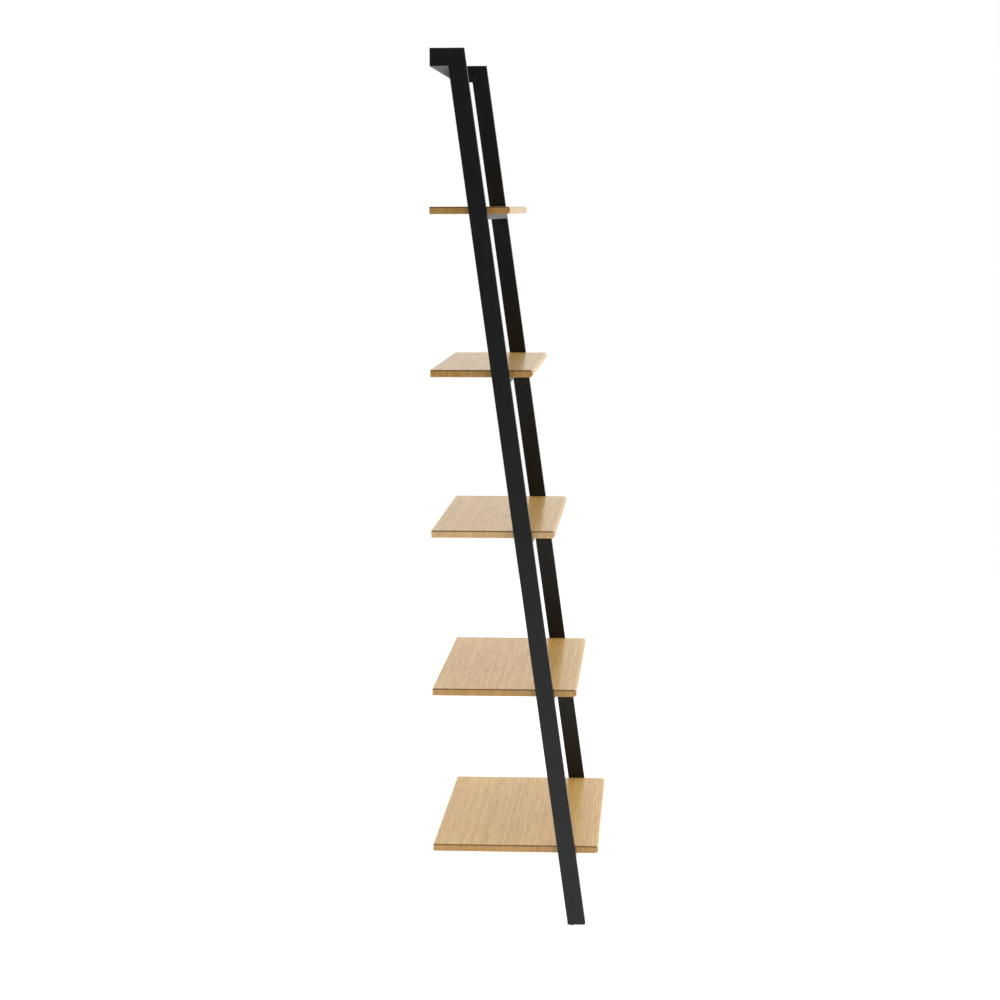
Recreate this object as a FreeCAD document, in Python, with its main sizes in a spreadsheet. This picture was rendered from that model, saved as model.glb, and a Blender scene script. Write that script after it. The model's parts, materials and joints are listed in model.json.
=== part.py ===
"""Leaning ladder shelf: two 7-shaped steel side frames carry five bamboo boards.

Frame: +Z up, X along the boards, the room at -Y and the wall at +Y. The origin is on the
floor, midway between the sides and midway between the wall plane and the bottom board's front.
"""

import FreeCAD, Part
import os

import Sketcher

V = FreeCAD.Vector

# --------------------------------------------------------------------------- driving sizes, mm
SIZES = {
    # whole shelf
    "total_height": 1800,
    "inner_width": 600,
    "bottom_depth": 344,
    "depth_step": 45,
    "shelf_pitch": 330,
    "bottom_shelf_top": 165,
    "overhang": 48,
    "arm_setback": 4,
    # rectangular tube of the side frames
    "tube_width": 36.5,
    "tube_thick": 16,
    "tube_wall": 1.5,
    "tube_corner": 1.5,
    # bamboo boards
    "shelf_length": 598,
    "shelf_thick": 15,
    "nose_radius": 6.5,
    "edge_radius": 1,
    # folded pan that carries each board
    "bar_height": 11,
    "bar_depth": 34,
    "bar_sheet": 2,
    "bar_bend": 1.5,
    "bar_setback": 0.5,
    # strip that joins the arms at the wall
    "strip_height": 32,
    "strip_sheet": 3,
    "strip_tab": 48,
    "wall_hole_radius": 3,
    "wall_hole_spacing": 400,
    # machine bolts and rivet nuts
    "bolt_radius": 2.5,
    "bolt_length": 9,
    "bolt_spacing": 18,
    "bolt_head_radius": 4.1,
    "bolt_head_height": 2.8,
    "bolt_socket_radius": 1.75,
    "rivet_radius": 3.5,
    "rivet_length": 9,
    "rivet_bulge_radius": 4.6,
    "rivet_bulge_length": 2.5,
    # wood screws under the boards
    "screw_radius": 1.75,
    "screw_length": 12,
    "screw_spacing": 230,
    "screw_head_radius": 3.8,
    "screw_head_height": 2.2,
    "screw_socket_radius": 1.3,
    "socket_depth": 1.4,
    # plastic plugs in the tube ends
    "plug_face": 2,
    "plug_reach": 10,
    "plug_clearance": 0.2,
    "sole_gap": 2,
    "sole_face": 3,
    "sole_reach": 25,
    "sole_corner": 2.5,
    # levelling glide
    "glide_inset": 8.5,
    "pad_radius": 6.5,
    "pad_height": 4,
    "pad_edge": 0.8,
    "pad_clearance": 0.4,
    "pivot_radius": 2,
    "pivot_depth": 2.5,
    "running_gap": 0.3,
    "collar_radius": 4.6,
    "collar_height": 3,
    "stud_radius": 3,
    "stud_length": 19,
    "thread_clearance": 0.05,
}

SHELF_COUNT = 5
SIDES = {"left": -1, "right": 1}

doc = FreeCAD.newDocument("ladder_shelf")
sheet = doc.addObject("Spreadsheet::Sheet", "Sizes")
for row, (size_name, size_value) in enumerate(SIZES.items(), start=1):
    sheet.set(f"A{row}", size_name)
    sheet.set(f"B{row}", str(size_value))
    sheet.setAlias(f"B{row}", size_name)
doc.recompute()


# --------------------------------------------------------------------------- sheet expressions
LEAN = "(Sizes.depth_step / Sizes.shelf_pitch)"
SLANT = f"sqrt(1 + {LEAN}^2)"
WALL_Y = "(Sizes.bottom_depth / 2)"
ARM_END = f"({WALL_Y} - Sizes.arm_setback)"
SIDE_X = "(Sizes.inner_width / 2 + Sizes.tube_thick / 2)"
ARM_BOTTOM = "(Sizes.total_height - Sizes.tube_width)"
ARM_MIDDLE = "(Sizes.total_height - Sizes.tube_width / 2)"
SOLE_TOP = "(Sizes.sole_gap + Sizes.sole_face)"
TUBE_INSIDE = "(Sizes.tube_thick - 2 * Sizes.tube_wall)"
PLUG_THICK = f"({TUBE_INSIDE} - 2 * Sizes.plug_clearance)"


def front_y(height, inset="0"):
    """Y of the leaning rail's front face at a height, moved into the tube by an inset."""
    start = "Sizes.overhang - Sizes.bottom_depth / 2"
    rise = f"(({height}) - Sizes.bottom_shelf_top) * {LEAN}"
    return f"({start} + {rise} + ({inset}) * {SLANT})"


def rear_y(height, inset="0"):
    """Y of the leaning rail's rear face at a height, moved into the tube by an inset."""
    return front_y(height, f"Sizes.tube_width - ({inset})")


GLIDE_Y = f"({rear_y('Sizes.sole_gap')} - Sizes.glide_inset)"


def shelf_top(number):
    """Height of a board's top face; board 1 is the top one."""
    return f"(Sizes.bottom_shelf_top + {SHELF_COUNT - number} * Sizes.shelf_pitch)"


def shelf_depth(number):
    """Depth of a board from the wall plane to its front edge."""
    return f"(Sizes.bottom_depth - {SHELF_COUNT - number} * Sizes.depth_step)"


def bar_top(number):
    return f"({shelf_top(number)} - Sizes.shelf_thick)"


def bar_bolt_z(number):
    """Height of the bolts, midway up the open inside of the pan."""
    return f"({bar_top(number)} - (Sizes.bar_height + Sizes.bar_sheet) / 2)"


def bar_front(number):
    middle = f"{bar_top(number)} - Sizes.bar_height / 2"
    return f"({front_y(middle)} + Sizes.bar_setback)"


def bar_middle(number):
    return f"({bar_front(number)} + Sizes.bar_depth / 2)"


def bar_rows(number):
    """Y of the front and rear rows of fixings in a bar."""
    return [f"({bar_middle(number)} {sign} Sizes.bolt_spacing / 2)" for sign in "-+"]


def strip_bolt_ys():
    """Y of the two bolts in each tab of the wall strip."""
    rear = f"({ARM_END} - Sizes.strip_tab / 2 + Sizes.bolt_spacing / 4)"
    return [f"({rear} - Sizes.bolt_spacing)", rear]


def screw_xs():
    return [f"({step} * Sizes.screw_spacing)" for step in (-1, 0, 1)]


# --------------------------------------------------------------------------- modelling helpers
def value_of(expression):
    """Present value of a sheet expression."""
    return float(sheet.evalExpression(expression))


def new_body(name, x="0", y="0", z="0"):
    body = doc.addObject("PartDesign::Body", name)
    body.Label = name
    for axis, expression in zip("xyz", (x, y, z)):
        body.setExpression(f"Placement.Base.{axis}", expression)
    return body


def new_sketch(body, plane):
    """Empty sketch on one of the body's own origin planes: XY, XZ or YZ."""
    sketch = body.newObject("Sketcher::SketchObject", f"{body.Name}_outline")
    support = [item for item in body.Origin.OriginFeatures if item.Role == f"{plane}_Plane"]
    sketch.AttachmentSupport = (support[0], [""])
    sketch.MapMode = "FlatFace"
    return sketch


def fix_point(sketch, geometry, corner, x, y):
    """Hold a sketch point at two sheet expressions."""
    for kind, axis, expression in (("DistanceX", -2, x), ("DistanceY", -1, y)):
        value = value_of(expression)
        if abs(value) < 1e-9:
            sketch.addConstraint(Sketcher.Constraint("PointOnObject", geometry, corner, axis))
            continue
        index = sketch.addConstraint(Sketcher.Constraint(kind, geometry, corner, value))
        sketch.setExpression(f"Constraints[{index}]", expression)


def draw_polygon(sketch, corners):
    """Closed outline through corners given as pairs of sheet expressions."""
    points = [V(value_of(x), value_of(y), 0) for x, y in corners]
    count = len(points)
    lines = []
    for index in range(count):
        segment = Part.LineSegment(points[index], points[(index + 1) % count])
        lines.append(sketch.addGeometry(segment))
    for index in range(count):
        following = lines[(index + 1) % count]
        sketch.addConstraint(Sketcher.Constraint("Coincident", lines[index], 2, following, 1))
    for line, (x, y) in zip(lines, corners):
        fix_point(sketch, line, 1, x, y)


def draw_rectangle(sketch, low_x, high_x, low_y, high_y):
    corners = [(low_x, low_y), (high_x, low_y), (high_x, high_y), (low_x, high_y)]
    draw_polygon(sketch, corners)


def draw_circle(sketch, x, y, radius):
    centre = V(value_of(x), value_of(y), 0)
    size = value_of(radius)
    circle = sketch.addGeometry(Part.Circle(centre, V(0, 0, 1), size))
    fix_point(sketch, circle, 3, x, y)
    index = sketch.addConstraint(Sketcher.Constraint("Radius", circle, size))
    sketch.setExpression(f"Constraints[{index}]", radius)


def pad(body, sketch, length, symmetric=False):
    feature = body.newObject("PartDesign::Pad", f"{body.Name}_pad")
    feature.Profile = sketch
    feature.SideType = "Symmetric" if symmetric else "One side"
    feature.setExpression("Length", length)
    doc.recompute()
    return feature


def pocket(body, sketch, length, symmetric=False, reverse=False):
    """Cut a sketch into the body; a cut that removes nothing is an error."""
    before = body.Shape.Volume
    feature = body.newObject("PartDesign::Pocket", f"{body.Name}_pocket")
    feature.Profile = sketch
    feature.SideType = "Symmetric" if symmetric else "One side"
    feature.Reversed = reverse
    feature.setExpression("Length", length)
    doc.recompute()
    if body.Shape.Volume > before - 0.1:
        raise RuntimeError(f"{feature.Name} cuts nothing")
    return feature


def runs_along(edge, direction):
    tangent = edge.tangentAt(edge.FirstParameter)
    return abs(tangent.dot(direction)) > 0.999


def round_edges(body, radius, wanted):
    """Round the edges of the body's present shape for which wanted(edge) is true."""
    base = body.Tip
    edges = base.Shape.Edges
    names = [f"Edge{number}" for number, edge in enumerate(edges, start=1) if wanted(edge)]
    feature = body.newObject("PartDesign::Fillet", f"{body.Name}_fillet")
    feature.Base = (base, names)
    feature.setExpression("Radius", radius)
    doc.recompute()
    return feature


# --------------------------------------------------------------------------- side frames
def rail(side):
    """Leaning tube: flat on its sole, mitred to the arm, with holes for the rivet nuts."""
    body = new_body(f"{side}_rail", x=f"{SIDES[side]} * {SIDE_X}")
    outline = new_sketch(body, "YZ")
    draw_polygon(outline, [
        (front_y(SOLE_TOP), SOLE_TOP),
        (front_y("Sizes.total_height"), "Sizes.total_height"),
        (rear_y(ARM_BOTTOM), ARM_BOTTOM),
        (rear_y(SOLE_TOP), SOLE_TOP),
    ])
    pad(body, outline, "Sizes.tube_thick", symmetric=True)
    slope = value_of(LEAN)
    along = V(0, slope, 1).normalize()
    round_edges(body, "Sizes.tube_corner", lambda edge: runs_along(edge, along))

    wall = "Sizes.tube_wall"
    low = f"({SOLE_TOP} - 1)"
    high = f"(Sizes.total_height - {wall})"
    high_rear = f"({ARM_BOTTOM} + {wall})"
    hollow = new_sketch(body, "YZ")
    draw_polygon(hollow, [
        (front_y(low, wall), low),
        (front_y(high, wall), high),
        (rear_y(high_rear, wall), high_rear),
        (rear_y(low, wall), low),
    ])
    pocket(body, hollow, TUBE_INSIDE, symmetric=True)

    holes = new_sketch(body, "YZ")
    for number in range(1, SHELF_COUNT + 1):
        for y in bar_rows(number):
            draw_circle(holes, y, bar_bolt_z(number), "Sizes.rivet_radius")
    pocket(body, holes, "Sizes.tube_thick", reverse=SIDES[side] < 0)
    return body


def top_arm(side):
    """Level tube from the mitre back towards the wall, welded to the top of the rail."""
    body = new_body(f"{side}_top_arm", x=f"{SIDES[side]} * {SIDE_X}")
    end = f"({ARM_END} - Sizes.plug_face)"
    outline = new_sketch(body, "YZ")
    draw_polygon(outline, [
        (front_y("Sizes.total_height"), "Sizes.total_height"),
        (end, "Sizes.total_height"),
        (end, ARM_BOTTOM),
        (rear_y(ARM_BOTTOM), ARM_BOTTOM),
    ])
    pad(body, outline, "Sizes.tube_thick", symmetric=True)
    round_edges(body, "Sizes.tube_corner", lambda edge: runs_along(edge, V(0, 1, 0)))

    wall = "Sizes.tube_wall"
    high = f"(Sizes.total_height - {wall})"
    low = f"({ARM_BOTTOM} + {wall})"
    hollow = new_sketch(body, "YZ")
    draw_polygon(hollow, [
        (front_y(high, wall), high),
        (f"({end} + 1)", high),
        (f"({end} + 1)", low),
        (rear_y(low, wall), low),
    ])
    pocket(body, hollow, TUBE_INSIDE, symmetric=True)

    holes = new_sketch(body, "YZ")
    for y in strip_bolt_ys():
        draw_circle(holes, y, ARM_MIDDLE, "Sizes.rivet_radius")
    pocket(body, holes, "Sizes.tube_thick", reverse=SIDES[side] < 0)
    return body


def arm_plug(side):
    """Plastic plug that closes the arm's end, just short of the wall."""
    body = new_body(f"{side}_arm_plug", x=f"{SIDES[side]} * {SIDE_X}")
    face = new_sketch(body, "YZ")
    inner = f"({ARM_END} - Sizes.plug_face)"
    draw_rectangle(face, inner, ARM_END, ARM_BOTTOM, "Sizes.total_height")
    pad(body, face, "Sizes.tube_thick", symmetric=True)
    round_edges(body, "Sizes.tube_corner", lambda edge: runs_along(edge, V(0, 1, 0)))

    inset = "(Sizes.tube_wall + Sizes.plug_clearance)"
    insert = new_sketch(body, "YZ")
    draw_rectangle(
        insert,
        f"({inner} - Sizes.plug_reach)",
        inner,
        f"({ARM_BOTTOM} + {inset})",
        f"(Sizes.total_height - {inset})",
    )
    pad(body, insert, PLUG_THICK, symmetric=True)
    return body


def foot_plug(side):
    """Plastic sole in the rail's foot, with a threaded well for the levelling glide."""
    body = new_body(f"{side}_foot_plug", x=f"{SIDES[side]} * {SIDE_X}")
    low = "Sizes.sole_gap"
    face = new_sketch(body, "YZ")
    draw_polygon(face, [
        (front_y(low), low),
        (front_y(SOLE_TOP), SOLE_TOP),
        (rear_y(SOLE_TOP), SOLE_TOP),
        (rear_y(low), low),
    ])
    pad(body, face, "Sizes.tube_thick", symmetric=True)
    round_edges(
        body,
        "Sizes.sole_corner",
        lambda edge: runs_along(edge, V(1, 0, 0))
        and edge.CenterOfMass.z < value_of(low) + 0.1
        and edge.CenterOfMass.y < value_of(front_y(low)) + 0.1,
    )

    inset = "(Sizes.tube_wall + Sizes.plug_clearance)"
    high = f"({SOLE_TOP} + Sizes.sole_reach)"
    insert = new_sketch(body, "YZ")
    draw_polygon(insert, [
        (front_y(SOLE_TOP, inset), SOLE_TOP),
        (front_y(high, inset), high),
        (rear_y(high, inset), high),
        (rear_y(SOLE_TOP, inset), SOLE_TOP),
    ])
    pad(body, insert, PLUG_THICK, symmetric=True)

    pad_well = "(Sizes.pad_height + Sizes.running_gap)"
    collar_well = f"({pad_well} + Sizes.collar_height + Sizes.running_gap)"
    wells = (
        ("Sizes.pad_radius + Sizes.pad_clearance", pad_well),
        ("Sizes.collar_radius + Sizes.pad_clearance", collar_well),
        ("Sizes.stud_radius + Sizes.thread_clearance", f"({high} - Sizes.plug_face)"),
    )
    for radius, depth in wells:
        well = new_sketch(body, "XY")
        draw_circle(well, "0", GLIDE_Y, radius)
        pocket(body, well, depth, reverse=True)
    return body


def foot_pad(side):
    """Round plastic pad that stands on the floor; the stud's tip turns in it."""
    body = new_body(f"{side}_foot_pad", x=f"{SIDES[side]} * {SIDE_X}", y=GLIDE_Y)
    disc = new_sketch(body, "XY")
    draw_circle(disc, "0", "0", "Sizes.pad_radius")
    pad(body, disc, "Sizes.pad_height")
    round_edges(body, "Sizes.pad_edge", lambda edge: edge.CenterOfMass.z < 0.1 and edge.Closed)

    # drawn on the floor plane, then raised to the pad's top face
    seat = new_sketch(body, "XY")
    seat.setExpression(".AttachmentOffset.Base.z", "Sizes.pad_height")
    draw_circle(seat, "0", "0", "Sizes.pivot_radius + Sizes.thread_clearance")
    pocket(body, seat, "Sizes.pivot_depth")
    return body


# --------------------------------------------------------------------------- primitives
def cylinder(name, radius, length, x="0", y="0", z="0", along_x=False):
    """Cylinder from a point, along +Z or +X."""
    item = doc.addObject("Part::Cylinder", name)
    item.setExpression("Radius", radius)
    item.setExpression("Height", length)
    if along_x:
        item.Placement.Rotation = FreeCAD.Rotation(V(0, 1, 0), 90)
    for axis, expression in zip("xyz", (x, y, z)):
        item.setExpression(f"Placement.Base.{axis}", expression)
    return item


def hexagon(name, radius, length, x="0", y="0", z="0", along_x=False):
    """Hexagonal prism from a point, along +Z or +X."""
    item = doc.addObject("Part::Prism", name)
    item.Polygon = 6
    item.setExpression("Circumradius", radius)
    item.setExpression("Height", length)
    if along_x:
        item.Placement.Rotation = FreeCAD.Rotation(V(0, 1, 0), 90)
    for axis, expression in zip("xyz", (x, y, z)):
        item.setExpression(f"Placement.Base.{axis}", expression)
    return item


def fuse(name, items):
    result = doc.addObject("Part::MultiFuse", name)
    result.Shapes = items
    return result


def cut(name, base, tool):
    result = doc.addObject("Part::Cut", name)
    result.Base = base
    result.Tool = tool
    return result


def group(name, items):
    """Separate solids that share one node."""
    result = doc.addObject("Part::Compound", name)
    result.Links = items
    result.Label = name
    return result


def outward(side, start, length):
    """X at which a piece must start so that it reaches outward from start by length."""
    if SIDES[side] > 0:
        return f"({start})"
    return f"(-({start}) - ({length}))"


def foot_stud(side):
    """Levelling stud: tip in the pad, hexagon collar for a spanner, shank up in the plug."""
    x = f"{SIDES[side]} * {SIDE_X}"
    tip_bottom = "(Sizes.pad_height - Sizes.pivot_depth + Sizes.running_gap)"
    collar_bottom = "(Sizes.pad_height + Sizes.running_gap)"
    shank_bottom = f"({collar_bottom} + Sizes.collar_height)"
    name = f"{side}_foot_stud"
    pieces = [
        cylinder(f"{name}_tip", "Sizes.pivot_radius", "Sizes.pivot_depth", x, GLIDE_Y, tip_bottom),
        hexagon(
            f"{name}_collar", "Sizes.collar_radius", "Sizes.collar_height", x, GLIDE_Y, collar_bottom
        ),
        cylinder(
            f"{name}_shank", "Sizes.stud_radius", "Sizes.stud_length", x, GLIDE_Y, shank_bottom
        ),
    ]
    stud = fuse(name, pieces)
    stud.Label = name
    return stud


# --------------------------------------------------------------------------- cross pieces
def shelf_bar(number):
    """Folded steel pan, open below, bolted between the rails under a board."""
    body = new_body(f"shelf_bar_{number}", z=f"{bar_top(number)} - Sizes.bar_height")
    half = "(Sizes.inner_width / 2)"
    front = bar_front(number)
    rear = f"({front} + Sizes.bar_depth)"
    block = new_sketch(body, "XY")
    draw_rectangle(block, f"-{half}", half, front, rear)
    pad(body, block, "Sizes.bar_height")
    web = value_of("Sizes.bar_height")
    round_edges(
        body,
        "Sizes.bar_bend",
        lambda edge: runs_along(edge, V(1, 0, 0)) and edge.CenterOfMass.z > web - 0.1,
    )

    inside = new_sketch(body, "XY")
    draw_rectangle(
        inside,
        f"(Sizes.bar_sheet - {half})",
        f"({half} - Sizes.bar_sheet)",
        f"({front} + Sizes.bar_sheet)",
        f"({rear} - Sizes.bar_sheet)",
    )
    pocket(body, inside, "Sizes.bar_height - Sizes.bar_sheet", reverse=True)

    end_holes = new_sketch(body, "YZ")
    bolt_height = "((Sizes.bar_height - Sizes.bar_sheet) / 2)"
    for y in bar_rows(number):
        draw_circle(end_holes, y, bolt_height, "Sizes.bolt_radius")
    pocket(body, end_holes, "Sizes.inner_width + 2", symmetric=True)

    screw_holes = new_sketch(body, "XY")
    for x in screw_xs():
        for y in bar_rows(number):
            draw_circle(screw_holes, x, y, "Sizes.screw_radius")
    pocket(body, screw_holes, "Sizes.bar_height + 1", reverse=True)
    return body


def shelf_board(number):
    """Bamboo board: rounded nose, eased edges, pilot holes in its underside."""
    body = new_body(f"shelf_{number}", z=f"{shelf_top(number)} - Sizes.shelf_thick")
    half = "(Sizes.shelf_length / 2)"
    front = f"({WALL_Y} - {shelf_depth(number)})"
    outline = new_sketch(body, "XY")
    draw_rectangle(outline, f"-{half}", half, front, WALL_Y)
    pad(body, outline, "Sizes.shelf_thick")

    nose = value_of(front)
    half_length = value_of(half)
    wall = value_of(WALL_Y)
    round_edges(
        body,
        "Sizes.nose_radius",
        lambda edge: runs_along(edge, V(1, 0, 0)) and edge.CenterOfMass.y < nose + 0.1,
    )
    round_edges(
        body,
        "Sizes.edge_radius",
        lambda edge: abs(edge.CenterOfMass.x) > half_length - 0.1
        or (runs_along(edge, V(1, 0, 0)) and edge.CenterOfMass.y > wall - 0.1),
    )

    pilots = new_sketch(body, "XY")
    for x in screw_xs():
        for y in bar_rows(number):
            draw_circle(pilots, x, y, "Sizes.screw_radius")
    pocket(body, pilots, "Sizes.screw_length - Sizes.bar_sheet", reverse=True)
    return body


def top_cross_bar():
    """Steel strip near the wall with a tab bolted inside each arm and two wall-screw holes."""
    body = new_body("top_cross_bar", z=ARM_BOTTOM)
    half = "(Sizes.inner_width / 2)"
    sheet_inside = f"({half} - Sizes.strip_sheet)"
    tab_front = f"({ARM_END} - Sizes.strip_tab)"
    strip_front = f"({ARM_END} - Sizes.strip_sheet)"
    outline = new_sketch(body, "XY")
    draw_polygon(outline, [
        (f"-{half}", ARM_END),
        (f"-{half}", tab_front),
        (f"-{sheet_inside}", tab_front),
        (f"-{sheet_inside}", strip_front),
        (sheet_inside, strip_front),
        (sheet_inside, tab_front),
        (half, tab_front),
        (half, ARM_END),
    ])
    pad(body, outline, "Sizes.strip_height")

    bolt_height = "(Sizes.tube_width / 2)"
    tab_holes = new_sketch(body, "YZ")
    for y in strip_bolt_ys():
        draw_circle(tab_holes, y, bolt_height, "Sizes.bolt_radius")
    pocket(body, tab_holes, "Sizes.inner_width + 2", symmetric=True)

    wall_holes = new_sketch(body, "XZ")
    for sign in "-+":
        x = f"({sign}Sizes.wall_hole_spacing / 2)"
        draw_circle(wall_holes, x, bolt_height, "Sizes.wall_hole_radius")
    pocket(body, wall_holes, "Sizes.bottom_depth + 2", symmetric=True)
    return body


# --------------------------------------------------------------------------- fasteners
def frame_bolt_places():
    """Every bolt on one side: its number, Y, Z and the X of the sheet face under its head."""
    places = []
    for number in range(1, SHELF_COUNT + 1):
        for y in bar_rows(number):
            places.append((y, bar_bolt_z(number), "(Sizes.inner_width / 2 - Sizes.bar_sheet)"))
    for y in strip_bolt_ys():
        places.append((y, ARM_MIDDLE, "(Sizes.inner_width / 2 - Sizes.strip_sheet)"))
    return places


def frame_bolts(side):
    """Socket-head bolts that clamp the bars and the wall strip to one side frame."""
    bolts = []
    for index, (y, z, seat) in enumerate(frame_bolt_places(), start=1):
        name = f"{side}_bolt_{index}"
        head_start = f"({seat} - Sizes.bolt_head_height)"
        head = cylinder(
            f"{name}_head",
            "Sizes.bolt_head_radius",
            "Sizes.bolt_head_height",
            outward(side, head_start, "Sizes.bolt_head_height"), y, z,
            along_x=True,
        )
        shank = cylinder(
            f"{name}_shank",
            "Sizes.bolt_radius",
            "Sizes.bolt_length",
            outward(side, seat, "Sizes.bolt_length"), y, z,
            along_x=True,
        )
        socket = hexagon(
            f"{name}_socket",
            "Sizes.bolt_socket_radius",
            "Sizes.socket_depth",
            outward(side, head_start, "Sizes.socket_depth"), y, z,
            along_x=True,
        )
        bolts.append(cut(name, fuse(f"{name}_blank", [head, shank]), socket))
    return group(f"{side}_frame_bolts", bolts)


def rivet_nuts(side):
    """Blind rivet nuts set in the inner walls of one side frame."""
    nuts = []
    face = "(Sizes.inner_width / 2)"
    behind_wall = f"({face} + Sizes.tube_wall)"
    for index, (y, z, _seat) in enumerate(frame_bolt_places(), start=1):
        name = f"{side}_nut_{index}"
        barrel = cylinder(
            f"{name}_barrel",
            "Sizes.rivet_radius",
            "Sizes.rivet_length",
            outward(side, face, "Sizes.rivet_length"), y, z,
            along_x=True,
        )
        bulge = cylinder(
            f"{name}_bulge",
            "Sizes.rivet_bulge_radius",
            "Sizes.rivet_bulge_length",
            outward(side, behind_wall, "Sizes.rivet_bulge_length"), y, z,
            along_x=True,
        )
        thread = cylinder(
            f"{name}_thread",
            "Sizes.bolt_radius",
            "Sizes.rivet_length",
            outward(side, face, "Sizes.rivet_length"), y, z,
            along_x=True,
        )
        nuts.append(cut(name, fuse(f"{name}_blank", [barrel, bulge]), thread))
    return group(f"{side}_rivet_nuts", nuts)


def shelf_screws():
    """Wood screws that hold each board down on its bar, driven from below."""
    screws = []
    for number in range(1, SHELF_COUNT + 1):
        seat = f"({bar_top(number)} - Sizes.bar_sheet)"
        head_bottom = f"({seat} - Sizes.screw_head_height)"
        for x in screw_xs():
            for y in bar_rows(number):
                name = f"screw_{len(screws) + 1}"
                head = cylinder(
                    f"{name}_head", "Sizes.screw_head_radius", "Sizes.screw_head_height", x, y, head_bottom
                )
                shank = cylinder(f"{name}_shank", "Sizes.screw_radius", "Sizes.screw_length", x, y, seat)
                socket = hexagon(
                    f"{name}_socket", "Sizes.screw_socket_radius", "Sizes.socket_depth", x, y, head_bottom
                )
                screws.append(cut(name, fuse(f"{name}_blank", [head, shank]), socket))
    return group("shelf_screws", screws)


# --------------------------------------------------------------------------- assemble and write
def build():
    nodes = []
    for side in SIDES:
        for make in (rail, top_arm, arm_plug, foot_plug, foot_pad, foot_stud, frame_bolts, rivet_nuts):
            nodes.append(make(side))
    for number in range(1, SHELF_COUNT + 1):
        nodes.append(shelf_board(number))
        nodes.append(shelf_bar(number))
    nodes.append(top_cross_bar())
    nodes.append(shelf_screws())
    return nodes


def check(nodes):
    """Stop on any failed feature and on any null or invalid shape."""
    for item in doc.Objects:
        if {"Invalid", "Error"} & set(item.State):
            raise RuntimeError(f"{item.Name} did not compute")
    for node in nodes:
        if node.Shape.isNull() or not node.Shape.isValid():
            raise RuntimeError(f"{node.Label} has no valid shape")


nodes = build()
doc.recompute()
check(nodes)
os.makedirs("parts", exist_ok=True)
for node in nodes:
    node.Shape.exportStep(f"parts/{node.Label}.step")
    box = node.Shape.BoundBox
    print(
        f"{node.Label}: {len(node.Shape.Solids)} solids, {node.Shape.Volume / 1000:.1f} cm3,"
        f" y {box.YMin:.1f}..{box.YMax:.1f}, z {box.ZMin:.1f}..{box.ZMax:.1f}"
    )
print(f"{len(nodes)} nodes")
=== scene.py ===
"""Looks of the ladder shelf: finishes for every node, a pale floor, soft studio light, a camera."""

import json
import math

import bpy
from mathutils import Matrix, Vector


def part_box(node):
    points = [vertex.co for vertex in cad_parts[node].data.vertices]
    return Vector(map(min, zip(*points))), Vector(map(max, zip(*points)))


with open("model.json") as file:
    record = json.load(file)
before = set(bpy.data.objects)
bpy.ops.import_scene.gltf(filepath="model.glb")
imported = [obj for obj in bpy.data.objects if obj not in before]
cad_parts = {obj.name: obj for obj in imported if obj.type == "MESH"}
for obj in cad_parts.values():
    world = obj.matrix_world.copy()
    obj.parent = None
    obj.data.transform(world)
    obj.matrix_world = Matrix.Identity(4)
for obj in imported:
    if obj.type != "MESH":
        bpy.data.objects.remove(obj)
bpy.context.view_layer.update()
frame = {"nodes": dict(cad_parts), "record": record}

# ------------------------------------------------------------------ sizes taken from the frame, m
BOARDS = 5
board_boxes = [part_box(f"shelf_{number}") for number in range(1, BOARDS + 1)]
BOARD_END = board_boxes[0][1].x
BOARD_PITCH = board_boxes[0][1].z - board_boxes[1][1].z
LOWEST_TOP = board_boxes[-1][1].z
BOARD_OFFSET = 0.25  # of a pitch, so that a whole board has one number, 0 for the lowest

# ------------------------------------------------------------------ bamboo, sizes in m
STRIP_WIDTH = 0.0062
STRIP_WOBBLE = 0.0014  # how much the strips' widths differ
WOBBLE_SCALE = 70.0  # changes per metre across the board
STRIP_DRIFT = 0.0006  # how far a strip wanders sideways along the board
DRIFT_SCALE = 1.5
GLUE_LINE = 0.12  # share of a strip's width, at each side
CLOUD_SCALE = 5.0  # patches per metre along a strip
FIBRES_ALONG = 9.0  # per metre
FIBRES_ACROSS = 520.0
FIBRE_SHIFT = 7.0  # gives each board its own fibres
KNOT_SPACING = 0.24  # on average; each strip has its own
KNOT_PACE = 0.7 / KNOT_SPACING  # knots per metre in the sparsest strip
KNOT_SPREAD = 0.5 / KNOT_SPACING  # added to that in the densest
KNOT_LENGTH = 0.008  # from the middle of a knot to its end
KNOT_SLANT = 0.004
KNOT_GRAIN = 500.0  # breaks per metre in a knot's outline
END_SKIN = 0.0009  # depth of the sawn end's finish
# the sawn ends are drawn darker in a broken line this deep under the top face
END_TOP_LINE_DEPTH = 0.0034
END_TOP_LINE_GRAIN = 400.0  # breaks per metre along that darker line
PORE_SCALE = 1400.0
LACQUER_BUMP = 0.00005

STRAW = (0.78, 0.515, 0.175)
HONEY = (0.53, 0.31, 0.072)
FIBRE = (0.40, 0.21, 0.045)
KNOT = (0.24, 0.105, 0.025)
END_LIGHT = (0.70, 0.405, 0.13)
END_DARK = (0.60, 0.33, 0.10)
PALE_BOARD = 2  # the number of the board whose ends are paler
PALE_LIGHT = (0.95, 0.665, 0.335)
PALE_DARK = (0.87, 0.575, 0.27)
PORE = (0.19, 0.07, 0.012)

# One for each random choice that a strip makes
TONE_SEED, END_TONE_SEED, KNOT_PLACE_SEED, KNOT_SHOWN_SEED = 1.0, 5.0, 11.0, 23.0

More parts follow.
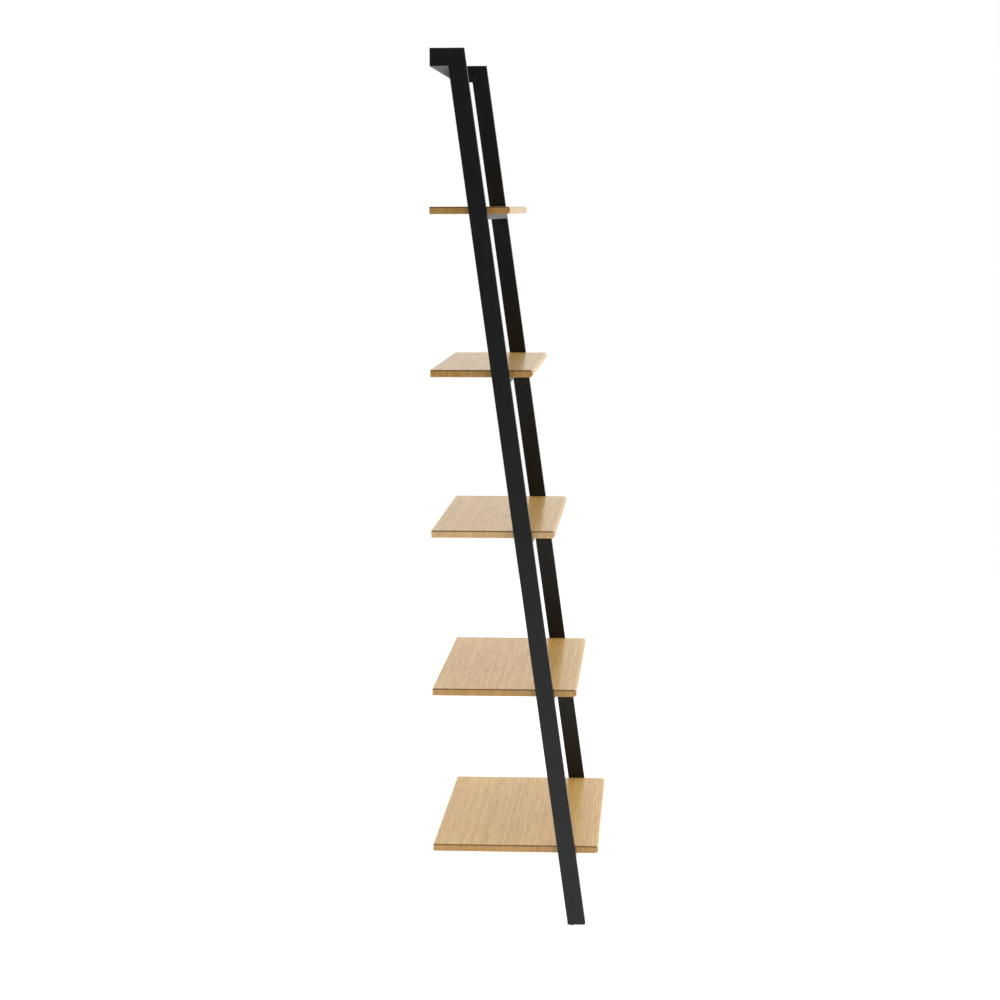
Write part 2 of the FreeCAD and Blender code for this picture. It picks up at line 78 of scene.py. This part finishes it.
# ------------------------------------------------------------------ room, sizes in m
FLOOR_RADIUS = 4.5
FLOOR_CORNERS = 128
FLOOR_GLOW = 0.75
WHITE = (1.0, 1.0, 1.0, 1.0)
NEAR_WALL = 0.03  # brightness of the room behind the camera
FAR_WALL = 0.78  # and beyond the shelf
WALL_TURN = 0.4  # direction's X where the far wall starts; the near wall ends at minus this
CEILING = 1.05  # added overhead
CEILING_EDGE, CEILING_FULL = 0.45, 0.9  # direction's Z
LAMP_WIDTH, LAMP_HEIGHT = 5.0, 3.0
LAMP_AIM = (0.0, 0.0, 0.9)
ROOM_LAMP, ROOM_POWER = (0.3, -4.0, 1.75), 130.0
WALL_LAMP, WALL_POWER = (0.3, 4.2, 1.75), 44.0

# ------------------------------------------------------------------ camera
CAMERA_PLACE = (-5.124, -0.296, 1.481)
CAMERA_YAW, CAMERA_PITCH, CAMERA_ROLL = 3.87, 6.981, -0.16  # degrees
LENS, SENSOR = 85.705, 36.0  # mm
FARTHEST = 60.0  # m


# ------------------------------------------------------------------ node helpers
def new_material(name):
    """A material, its node tree and its Principled BSDF."""
    material = bpy.data.materials.new(name)
    material.use_nodes = True
    return material, material.node_tree, material.node_tree.nodes["Principled BSDF"]


def feed(tree, socket, value):
    """Link a socket to another socket, or set it to a plain value."""
    if isinstance(value, bpy.types.NodeSocket):
        tree.links.new(value, socket)
    else:
        socket.default_value = value


def maths(tree, operation, first, second=0.0, third=0.0):
    """The result of one Math node."""
    node = tree.nodes.new("ShaderNodeMath")
    node.operation = operation
    for socket, value in zip(node.inputs, (first, second, third)):
        feed(tree, socket, value)
    return node.outputs[0]


def object_position(tree):
    """X, Y and Z in the shelf's own frame, in metres."""
    coordinates = tree.nodes.new("ShaderNodeTexCoord")
    split = tree.nodes.new("ShaderNodeSeparateXYZ")
    tree.links.new(coordinates.outputs["Object"], split.inputs[0])
    return split.outputs["X"], split.outputs["Y"], split.outputs["Z"]


def vector(tree, x, y, z):
    """One vector from three values."""
    node = tree.nodes.new("ShaderNodeCombineXYZ")
    for socket, value in zip(node.inputs, (x, y, z)):
        feed(tree, socket, value)
    return node.outputs[0]


def noise(tree, position, scale=1.0, detail=2.0, roughness=0.5):
    """Smooth noise from 0 to 1."""
    node = tree.nodes.new("ShaderNodeTexNoise")
    feed(tree, node.inputs["Vector"], position)
    node.inputs["Scale"].default_value = scale
    node.inputs["Detail"].default_value = detail
    node.inputs["Roughness"].default_value = roughness
    return node.outputs["Fac"]


def random_value(tree, position):
    """One random number from 0 to 1 for each position."""
    node = tree.nodes.new("ShaderNodeTexWhiteNoise")
    feed(tree, node.inputs["Vector"], position)
    return node.outputs["Value"]


def between(tree, value, low, high, at_low=0.0, at_high=1.0):
    """A smooth step: at_low below low, at_high above high."""
    node = tree.nodes.new("ShaderNodeMapRange")
    node.interpolation_type = "SMOOTHSTEP"
    feed(tree, node.inputs["Value"], value)
    node.inputs["From Min"].default_value = low
    node.inputs["From Max"].default_value = high
    node.inputs["To Min"].default_value = at_low
    node.inputs["To Max"].default_value = at_high
    return node.outputs["Result"]


def blend_colours(tree, factor, first, second):
    """first where factor is 0, second where it is 1."""
    node = tree.nodes.new("ShaderNodeMix")
    node.data_type = "RGBA"
    sockets = [socket for socket in node.inputs if socket.enabled]
    for socket, value in zip(sockets, (factor, first, second)):
        feed(tree, socket, (*value, 1.0) if isinstance(value, tuple) else value)
    return [socket for socket in node.outputs if socket.enabled][0]


def bump(tree, height, distance):
    """A normal raised by height times distance, in metres."""
    node = tree.nodes.new("ShaderNodeBump")
    node.inputs["Distance"].default_value = distance
    feed(tree, node.inputs["Height"], height)
    return node.outputs["Normal"]


# ------------------------------------------------------------------ bamboo
def strip_layout(tree):
    """For each point: its board and strip numbers, its place across the strip from 0 to 1, x, y, z."""
    x, y, z = object_position(tree)
    board = maths(tree, "FLOOR", maths(tree, "MULTIPLY_ADD", z, 1 / BOARD_PITCH, BOARD_OFFSET))
    drift = noise(tree, vector(tree, maths(tree, "MULTIPLY", x, DRIFT_SCALE), 0.0, board), detail=1.0)
    widths = noise(tree, vector(tree, 0.0, maths(tree, "MULTIPLY", y, WOBBLE_SCALE), board), detail=1.0)
    bent = maths(tree, "MULTIPLY_ADD", drift, STRIP_DRIFT, y)
    spread = maths(tree, "MULTIPLY_ADD", widths, STRIP_WOBBLE, bent)
    strips = maths(tree, "MULTIPLY", spread, 1 / STRIP_WIDTH)
    strip = maths(tree, "FLOOR", strips)
    return board, strip, maths(tree, "FRACT", strips), x, y, z


def glue_shadow(tree, across):
    """1 on the joint between two strips, 0 inside a strip."""
    from_middle = maths(tree, "ABSOLUTE", maths(tree, "SUBTRACT", across, 0.5))
    return between(tree, from_middle, 0.5 - GLUE_LINE, 0.5)


def fibres(tree, x, y, z, board):
    """Fine long streaks along the board, from 0 to 1."""
    across = maths(tree, "MULTIPLY", y, FIBRES_ACROSS)
    fine = vector(
        tree,
        maths(tree, "MULTIPLY", x, FIBRES_ALONG),
        maths(tree, "MULTIPLY_ADD", board, FIBRE_SHIFT, across),
        maths(tree, "MULTIPLY", z, FIBRES_ACROSS),
    )
    return noise(tree, fine, detail=3.0, roughness=0.6)


def knots(tree, x, across, board, strip):
    """Short brown marks where a strip's culm had a node, each strip with its own places."""
    start = random_value(tree, vector(tree, strip, board, KNOT_PLACE_SEED))
    shown = random_value(tree, vector(tree, strip, board, KNOT_SHOWN_SEED))
    pace = maths(tree, "MULTIPLY_ADD", shown, KNOT_SPREAD, KNOT_PACE)
    turns = maths(tree, "MULTIPLY_ADD", x, pace, start)
    off = maths(tree, "ABSOLUTE", maths(tree, "SUBTRACT", maths(tree, "FRACT", turns), 0.5))
    slant = maths(tree, "MULTIPLY", maths(tree, "SUBTRACT", across, 0.5), KNOT_SLANT)
    distance = maths(tree, "ADD", maths(tree, "MULTIPLY", off, KNOT_SPACING), slant)
    mark = between(tree, distance, 0.0, KNOT_LENGTH, 1.0, 0.0)
    ragged = noise(tree, vector(tree, maths(tree, "MULTIPLY", x, KNOT_GRAIN), strip, across))
    mark = maths(tree, "MULTIPLY", mark, between(tree, ragged, 0.3, 0.6, 0.4, 1.0))
    strength = between(tree, shown, 0.62, 0.9, 0.0, 0.9)
    return maths(tree, "MULTIPLY", mark, strength)


def face_grain(tree, board, strip, across, x, streak, seam):
    """Colour of a board's faces: strips of different tones, each denser towards one side."""
    tone = random_value(tree, vector(tree, strip, board, TONE_SEED))
    cloud = noise(tree, vector(tree, maths(tree, "MULTIPLY", x, CLOUD_SCALE), strip, board))
    dense_side = between(tree, across, 0.35, 0.95)
    mixed = maths(tree, "MULTIPLY_ADD", cloud, 0.3, maths(tree, "MULTIPLY", tone, 0.4))
    mixed = maths(tree, "MULTIPLY_ADD", dense_side, 0.3, mixed)
    colour = blend_colours(tree, mixed, STRAW, HONEY)
    colour = blend_colours(tree, streak, colour, FIBRE)
    colour = blend_colours(tree, maths(tree, "MULTIPLY", seam, 0.5), colour, FIBRE)
    return blend_colours(tree, knots(tree, x, across, board, strip), colour, KNOT)


def end_top_line(tree, board, y, z):
    """Strength of the broken dark line under a board's top face."""
    board_top = maths(tree, "MULTIPLY_ADD", board, BOARD_PITCH, LOWEST_TOP)
    below_top = maths(tree, "SUBTRACT", board_top, z)
    edge = between(tree, below_top, END_TOP_LINE_DEPTH * 0.7, END_TOP_LINE_DEPTH, 1.0, 0.0)
    broken = noise(tree, vector(tree, 0.0, maths(tree, "MULTIPLY", y, END_TOP_LINE_GRAIN), board), detail=3.0)
    return maths(tree, "MULTIPLY", edge, between(tree, broken, 0.35, 0.6, 0.55, 1.0))


def end_grain(tree, board, strip, y, z, seam):
    """Colour of the sawn ends: strips on edge, dotted with pores, dark under the top face."""
    tone = random_value(tree, vector(tree, strip, board, END_TONE_SEED))
    pale = maths(tree, "COMPARE", board, PALE_BOARD, 0.5)
    light = blend_colours(tree, pale, END_LIGHT, PALE_LIGHT)
    dark = blend_colours(tree, pale, END_DARK, PALE_DARK)
    colour = blend_colours(tree, tone, light, dark)
    dots = tree.nodes.new("ShaderNodeTexVoronoi")
    dots.inputs["Scale"].default_value = PORE_SCALE
    feed(tree, dots.inputs["Vector"], vector(tree, 0.0, y, z))
    pore = between(tree, dots.outputs["Distance"], 0.1, 0.45, 0.75, 0.0)
    colour = blend_colours(tree, pore, colour, PORE)
    colour = blend_colours(tree, maths(tree, "MULTIPLY", seam, 0.4), colour, PORE)
    return blend_colours(tree, end_top_line(tree, board, y, z), colour, PORE)


def bamboo():
    """Narrow bamboo strips glued edge to edge under a satin lacquer."""
    material, tree, shader = new_material("bamboo")
    board, strip, across, x, y, z = strip_layout(tree)
    streak = between(tree, fibres(tree, x, y, z, board), 0.42, 0.72, 0.0, 0.6)
    seam = glue_shadow(tree, across)
    face = face_grain(tree, board, strip, across, x, streak, seam)
    end = maths(tree, "GREATER_THAN", maths(tree, "ABSOLUTE", x), BOARD_END - END_SKIN)
    ends = end_grain(tree, board, strip, y, z, seam)
    feed(tree, shader.inputs["Base Color"], blend_colours(tree, end, face, ends))
    feed(tree, shader.inputs["Roughness"], between(tree, streak, 0.0, 0.5, 0.36, 0.5))
    height = maths(tree, "MULTIPLY_ADD", streak, -0.5, maths(tree, "MULTIPLY", seam, -0.6))
    feed(tree, shader.inputs["Normal"], bump(tree, height, LACQUER_BUMP))
    shader.inputs["Specular IOR Level"].default_value = 0.15
    shader.inputs["Coat Weight"].default_value = 0.62
    shader.inputs["Coat Roughness"].default_value = 0.19
    return material


# ------------------------------------------------------------------ metal and plastic
def powder_coat():
    """Black powder paint with a fine orange peel and a satin sheen."""
    material, tree, shader = new_material("powder_coat")
    place = vector(tree, *object_position(tree))
    grain = noise(tree, place, scale=1900.0, detail=3.0, roughness=0.6)
    flow = noise(tree, place, scale=260.0, detail=2.0)
    cloud = noise(tree, place, scale=22.0, detail=3.0)
    colour = blend_colours(tree, cloud, (0.013, 0.0133, 0.0142), (0.018, 0.0183, 0.0192))
    feed(tree, shader.inputs["Base Color"], colour)
    feed(tree, shader.inputs["Roughness"], between(tree, grain, 0.3, 0.7, 0.30, 0.42))
    height = maths(tree, "MULTIPLY_ADD", flow, 2.0, grain)
    feed(tree, shader.inputs["Normal"], bump(tree, height, 0.00004))
    shader.inputs["Specular IOR Level"].default_value = 0.27
    return material


def plastic(name, dark, light, rough):
    """Moulded plastic with a spark-eroded, slightly mottled surface."""
    material, tree, shader = new_material(name)
    place = vector(tree, *object_position(tree))
    grain = noise(tree, place, scale=2600.0, detail=4.0, roughness=0.65)
    cloud = noise(tree, place, scale=120.0, detail=2.0)
    feed(tree, shader.inputs["Base Color"], blend_colours(tree, cloud, dark, light))
    feed(tree, shader.inputs["Roughness"], between(tree, grain, 0.3, 0.7, rough, rough + 0.15))
    feed(tree, shader.inputs["Normal"], bump(tree, grain, 0.00005))
    return material


def steel(name, dark, light, rough):
    """Plated steel with fine turning marks around X, the axis of the frame bolts."""
    material, tree, shader = new_material(name)
    x, y, z = object_position(tree)
    around = vector(tree, maths(tree, "MULTIPLY", x, 4000.0), maths(tree, "MULTIPLY", y, 500.0), z)
    marks = noise(tree, around, detail=3.0, roughness=0.6)
    cloud = noise(tree, vector(tree, x, y, z), scale=300.0, detail=2.0)
    feed(tree, shader.inputs["Base Color"], blend_colours(tree, cloud, dark, light))
    feed(tree, shader.inputs["Roughness"], between(tree, marks, 0.3, 0.7, rough, rough + 0.14))
    feed(tree, shader.inputs["Normal"], bump(tree, marks, 0.00002))
    shader.inputs["Metallic"].default_value = 1.0
    return material


def dress_nodes():
    """Give each CAD node the finish of the record's slot that it belongs to."""
    finishes = {
        "powder_coat": powder_coat(),
        "bamboo": bamboo(),
        "black_plastic": plastic("black_plastic", (0.012, 0.012, 0.012), (0.02, 0.02, 0.02), 0.5),
        "grey_plastic": plastic("grey_plastic", (0.05, 0.05, 0.05), (0.08, 0.08, 0.08), 0.55),
        "zinc_steel": steel("zinc_steel", (0.50, 0.51, 0.54), (0.66, 0.66, 0.67), 0.22),
        "black_steel": steel("black_steel", (0.03, 0.03, 0.033), (0.06, 0.06, 0.06), 0.34),
    }
    for subpart in frame["record"]["subparts"]:
        node = frame["nodes"][subpart["node"]]
        for material_slot in node.material_slots:
            material_slot.material = finishes[subpart["material_slot"]]


# ------------------------------------------------------------------ room
def floor_paint():
    """Matt pale paint that glows a little, as a floor does under even studio light."""
    material, tree, shader = new_material("floor_paint")
    speckle = noise(tree, vector(tree, *object_position(tree)), scale=60.0, detail=2.0)
    colour = blend_colours(tree, speckle, (0.49, 0.49, 0.49), (0.52, 0.52, 0.52))
    feed(tree, shader.inputs["Base Color"], colour)
    shader.inputs["Roughness"].default_value = 0.9
    shader.inputs["Specular IOR Level"].default_value = 0.0
    shader.inputs["Emission Color"].default_value = WHITE
    shader.inputs["Emission Strength"].default_value = FLOOR_GLOW
    return material


def lay_floor():
    """A round pale floor under the shelf."""
    turns = [math.tau * corner / FLOOR_CORNERS for corner in range(FLOOR_CORNERS)]
    corners = [(FLOOR_RADIUS * math.cos(turn), FLOOR_RADIUS * math.sin(turn), 0) for turn in turns]
    mesh = bpy.data.meshes.new("floor")
    mesh.from_pydata(corners, [], [tuple(range(FLOOR_CORNERS))])
    mesh.materials.append(floor_paint())
    floor = bpy.data.objects.new("floor", mesh)
    bpy.context.scene.collection.objects.link(floor)


def soft_box(name, place, power):
    """A rectangular studio light that points at the shelf and is hidden from reflections."""
    light = bpy.data.lights.new(name, "AREA")
    light.shape = "RECTANGLE"
    light.size, light.size_y, light.energy = LAMP_WIDTH, LAMP_HEIGHT, power
    lamp = bpy.data.objects.new(name, light)
    lamp.location = place
    lamp.rotation_euler = (Vector(LAMP_AIM) - Vector(place)).to_track_quat("-Z", "Y").to_euler()
    lamp.visible_glossy = False
    bpy.context.scene.collection.objects.link(lamp)


def light_room():
    """A white room, dim behind the camera, with a soft box in front of the shelf and one behind."""
    world = bpy.data.worlds.new("studio")
    bpy.context.scene.world = world
    world.use_nodes = True
    tree = world.node_tree
    tree.nodes.clear()
    coordinates = tree.nodes.new("ShaderNodeTexCoord")
    split = tree.nodes.new("ShaderNodeSeparateXYZ")
    tree.links.new(coordinates.outputs["Generated"], split.inputs[0])
    walls = between(tree, split.outputs["X"], -WALL_TURN, WALL_TURN, NEAR_WALL, FAR_WALL)
    ceiling = between(tree, split.outputs["Z"], CEILING_EDGE, CEILING_FULL, 0.0, CEILING)
    room = tree.nodes.new("ShaderNodeBackground")
    feed(tree, room.inputs["Strength"], maths(tree, "ADD", walls, ceiling))
    backdrop = tree.nodes.new("ShaderNodeBackground")
    for background in (room, backdrop):
        background.inputs["Color"].default_value = WHITE
    rays = tree.nodes.new("ShaderNodeLightPath")
    mix = tree.nodes.new("ShaderNodeMixShader")
    output = tree.nodes.new("ShaderNodeOutputWorld")
    tree.links.new(rays.outputs["Is Camera Ray"], mix.inputs[0])
    tree.links.new(room.outputs[0], mix.inputs[1])
    tree.links.new(backdrop.outputs[0], mix.inputs[2])
    tree.links.new(mix.outputs[0], output.inputs["Surface"])
    soft_box("room_side", ROOM_LAMP, ROOM_POWER)
    soft_box("wall_side", WALL_LAMP, WALL_POWER)


def place_camera():
    """A long lens beyond the left side frame, a little towards the room and looking slightly down."""
    data = bpy.data.cameras.new("camera")
    data.sensor_width = SENSOR
    data.lens = LENS
    data.clip_end = FARTHEST
    yaw, pitch, roll = math.radians(CAMERA_YAW), math.radians(CAMERA_PITCH), math.radians(CAMERA_ROLL)
    level = math.cos(pitch)
    forward = Vector((level * math.cos(yaw), level * math.sin(yaw), -math.sin(pitch)))
    right = forward.cross(Vector((0, 0, 1))).normalized()
    up = right.cross(forward)
    right, up = (
        math.cos(roll) * right + math.sin(roll) * up,
        math.cos(roll) * up - math.sin(roll) * right,
    )
    camera = bpy.data.objects.new("camera", data)
    bpy.context.scene.collection.objects.link(camera)
    axes = Matrix((right, up, -forward)).transposed().to_4x4()
    camera.matrix_world = Matrix.Translation(CAMERA_PLACE) @ axes
    bpy.context.scene.camera = camera


dress_nodes()
lay_floor()
light_room()
place_camera()
bpy.context.scene.view_settings.view_transform = "Standard"
